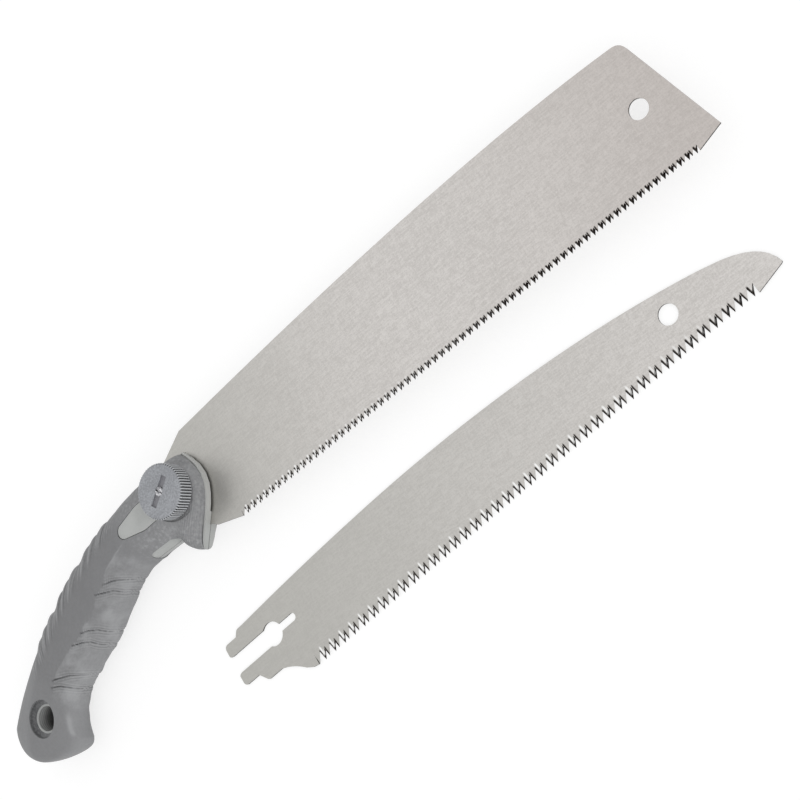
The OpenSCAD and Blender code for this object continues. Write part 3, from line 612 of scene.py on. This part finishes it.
def ground_steel(name, bright, flash_to, keyhole, turn, heel, gullets, teeth, pitch, depth):
    """Satin steel that is brightest between two places, with tooth flanks painted dark and bright as painted
    reflections, the bright flash painted less towards the tip.
    The row of teeth is given from the tang's keyhole, in millimetres."""
    steel, start = new_finish(name)
    place = place_on(start)
    run = part_of(place, X)
    brushed = grain(start, place, 1300, 2, (0.16, 1, 1))
    crossed = grain(start, place, 1100, 2, (1, 0.2, 1))
    speckle = grain(start, place, 1500, 3)
    cloudy = grain(start, place, 22, 3)
    facing = start.node("ShaderNodeNewGeometry", {}, {}, out=1)
    ahead = part_of(facing, X)
    upward = start.math("ABSOLUTE", part_of(facing, Z), 0)
    flat = upward.over(0.90, 0.99)
    tone = (brushed * 0.30 + crossed * 0.18 + speckle * 0.42 + cloudy * 0.10).over(0.36, 0.64)
    middle = run.over(*bright[1]).blend(tone.blend(STEEL, STEEL_PALE), STEEL_TIP)
    satin = ((1 - tone) * 0.10).blend(run.over(*bright[0]).blend(STEEL_COOL, middle), DARK_REFLECTION)
    flashing = 1 - run.over(*flash_to)

    # Painted strokes up each tooth, for the reflections of its ground bevel: painted dark behind its leading
    # edge, and painted bright beside that on every second one
    c, s = math.cos(math.radians(turn)), math.sin(math.radians(turn))
    from_key = start.node("ShaderNodeVectorMath", {"operation": "SUBTRACT"},
                          {0: place, 1: (keyhole[0] * MM, keyhole[1] * MM, 0)})
    forth = along_line(from_key, (c / MM, s / MM, 0))
    aside = along_line(from_key, (-s / MM, c / MM, 0))
    tooth = (forth - heel) * (1 / pitch)
    second = start.math("FRACT", tooth * 0.5, 0).over(0.49, 0.51)
    down = (gullets - aside) * (1 / depth)
    from_edge = (start.math("FRACT", tooth, 0) - down * 0.24) * pitch
    in_row = tooth.over(0.98, 1.02) * (1 - tooth.over(teeth - 0.02, teeth + 0.02)) * flat
    behind = from_edge - second * 0.25
    dark_stroke = (1 - behind.over(0.45, 0.85)) * down.over(-0.15, 0.08) * in_row
    bright_stroke = behind.over(0.65, 0.95) * (1 - behind.over(1.5, 2.0)) * down.over(-0.45, -0.15) * in_row
    flash = ahead.over(0.1, 0.3) * upward.over(0.45, 0.52) * (1 - down.over(0.45, 0.7)) * flashing
    # Painted reflection on the bevel facets: each facet that is not flat is painted dark, and painted bright
    # where it faces ahead
    ground = flat.blend(flash.blend(DARK_REFLECTION, BRIGHT_REFLECTION), satin)
    with_painted_strokes = (bright_stroke * second * flashing).blend(dark_stroke.blend(ground, DARK_REFLECTION), BRIGHT_REFLECTION)
    surface(start, brushed * 0.4 + speckle * 0.6, 0.00003, {
        "Base Color": with_painted_strokes,
        "Roughness": 0.22 + flat * (0.18 + speckle * 0.10),
        "Metallic": 1.0,
    })
    return steel


steel = ground_steel("satin_steel", bright=((0.10, 0.30), (0.30, 0.62)), flash_to=(0.17, 0.36),
                     keyhole=CLAMP, turn=0, heel=25.5, gullets=-27.3, teeth=130, pitch=2.25, depth=3.4)
dress(nodes["saw_blade"], steel)

# The clamp: a steel washer and a turned steel bolt, both zinc plated.
# The bolt's square end drives up into the knob, and its collar drops into the blade's keyhole.
for part in ("thrust_washer", "clamp_bolt"):
    dress(nodes[part], zinc)

# The clamp knob, moulded in speckled grey plastic with a grooved rim and a coin slot.
# It is pushed down on the bolt's square end.
KNOB_GREY = (0.262, 0.270, 0.288, 1)
KNOB_PALE = (0.375, 0.388, 0.412, 1)
KNOB_RIDGE_HIGHLIGHT = (0.52, 0.53, 0.545, 1)
KNOB_GROOVE_SHADE = (0.045, 0.046, 0.05, 1)
KNOB_SLOT_SHADE = (0.245, 0.242, 0.262, 1)
SLOT_ENDS = (0.0122, 0.0126)
SLOT_TOP = (0.0213, 0.0217)
GROOVE_FLOOR = (0.0131, 0.0134)
GROOVE_MOUTH = (0.0140, 0.01445)
GROOVE_TOP = (0.0205, 0.0212)
RIDGE = (0.0136, 0.0144)

speckled, start = new_finish("speckled_plastic")
place = place_on(start)
speckle = grain(start, place, 1000, 3)
cloudy = grain(start, place, 120, 2)
radius = off_axis(place, *(CLAMP * MM))
height = part_of(place, Z)
# Painted shade darkens the grooves and the coin slot's floor, and a painted highlight pales the outer ridges
in_slot = (1 - radius.over(*SLOT_ENDS)) * (1 - height.over(*SLOT_TOP))
facing = start.node("ShaderNodeNewGeometry", {}, {}, out=1)
upright = 1 - start.math("ABSOLUTE", part_of(facing, Z), 0).over(0.15, 0.4)
in_groove = (1 - radius.over(*GROOVE_MOUTH)) * radius.over(*GROOVE_FLOOR)
in_groove = in_groove * upright * (1 - height.over(*GROOVE_TOP))
on_ridge = radius.over(*RIDGE)
tone = (speckle * 0.7 + cloudy * 0.3).over(0.38, 0.62)
moulded = (on_ridge * 0.75).blend(tone.blend(KNOB_GREY, KNOB_PALE), KNOB_RIDGE_HIGHLIGHT)
surface(start, speckle, 0.00007, {
    "Base Color": (in_slot * 0.85).blend((in_groove * 0.9).blend(moulded, KNOB_GROOVE_SHADE), KNOB_SLOT_SHADE),
    "Roughness": 0.46 + speckle * 0.16,
    "Specular IOR Level": 0.45,
})
dress(nodes["clamp_knob"], speckled)

# The small slotted screw in the middle of the knob, of steel that has gone dull in patches.
# It goes in from above and holds the knob on the bolt's square.
SCREW_DARK = (0.26, 0.26, 0.275, 1)
SCREW_PALE = (0.74, 0.74, 0.76, 1)

dulled, start = new_finish("dulled_screw")
place = place_on(start)
bloom = grain(start, place, 700, 4)
surface(start, bloom, 0.00003, {
    "Base Color": bloom.over(0.4, 0.65).blend(SCREW_DARK, SCREW_PALE),
    "Roughness": 0.34 + bloom * 0.2,
    "Metallic": 1.0,
})
dress(nodes["knob_screw"], dulled)

# The spare pruning blade, cut from the same brushed steel with larger teeth.
# It lies loose beside the saw until its forked tang is pushed under the clamp.
steel = ground_steel("pruning_steel", bright=((0.08, 0.46), (0.8, 0.9)), flash_to=(0.33, 0.47),
                     keyhole=(139, -31), turn=3.8, heel=15.2, gullets=-23.2, teeth=80, pitch=3.57, depth=5.4)
dress(nodes["spare_blade"], steel)

# Where it lies: a seamless white table in a white room, with a broad soft lamp on the fingers' side.
# The camera stands where the photograph was taken, above the tooth side of the tip.
TABLE_TOP = -15.5
TABLE_REACH = 4000
TABLE_GREY = (0.34, 0.34, 0.34, 1)
TABLE_WHITE = (0.90, 0.90, 0.90, 1)
table = new_piece("table", [(x * TABLE_REACH, y * TABLE_REACH, TABLE_TOP)
                            for x, y in ((-1, -1), (1, -1), (1, 1), (-1, 1))], [(0, 1, 2, 3)])
white, start = new_finish("white_table")
ray = start.node("ShaderNodeLightPath", {}, {})
glossy = start.node("ShaderNodeLightPath", {}, {}, out=3)
lit = start.node("ShaderNodeBsdfDiffuse", {}, {"Color": ray.blend(TABLE_WHITE, TABLE_GREY)})
glow = start.node("ShaderNodeEmission", {}, {"Color": (1, 1, 1, 1), "Strength": ray * 0.72 + glossy * 0.08})
both = start.node("ShaderNodeAddShader", {}, {0: lit, 1: glow})
start.node("ShaderNodeOutputMaterial", {}, {"Surface": both})
dress(table, white)

world = bpy.data.worlds.new("white_room")
bpy.context.scene.world = world
world.use_nodes = True
world.node_tree.nodes.clear()
start = Wire(world.node_tree)
seen = start.node("ShaderNodeLightPath", {}, {}) + start.node("ShaderNodeLightPath", {}, {}, out=6)
glossy = start.node("ShaderNodeLightPath", {}, {}, out=3)
toward = start.node("ShaderNodeTexCoord", {}, {}, out=0)
height = part_of(toward, Z)
lamp_side = 0.18 + 0.82 * height.over(0.15, 0.62)
around = 1.06 - 0.42 * height.over(0.0, 1.0)
strength = seen + glossy * lamp_side + (1 - seen - glossy) * around
sky = start.node("ShaderNodeBackground", {}, {"Color": (1, 1, 1, 1), "Strength": strength})
start.node("ShaderNodeOutputWorld", {}, {"Surface": sky})

lamp = bpy.data.lights.new("soft_lamp", "SUN")
lamp.energy = 0.62
lamp.angle = math.radians(50)
lamp_at = bpy.data.objects.new("soft_lamp", lamp)
lamp_at.visible_glossy = False
lamp_at.rotation_euler = Vector((0.42, -0.58, 0.70)).to_track_quat("Z", "Y").to_euler()
bpy.context.scene.collection.objects.link(lamp_at)

view = bpy.data.cameras.new("view")
view.sensor_fit, view.sensor_width, view.lens = "HORIZONTAL", 36.0, 75.59
view.clip_start, view.clip_end = 0.01, 50
camera = bpy.data.objects.new("view", view)
stands = (0.59861, -0.26617, 0.67530)
right, up, back = (0.71414, -0.45029, -0.53595), (0.56976, 0.81871, 0.07134), (0.40666, -0.35631, 0.84123)
turned = Matrix((right, up, back)).transposed().to_4x4()
camera.matrix_world = Matrix.Translation(stands) @ turned
bpy.context.scene.collection.objects.link(camera)
bpy.context.scene.camera = camera
bpy.context.scene.view_settings.view_transform = "Standard"
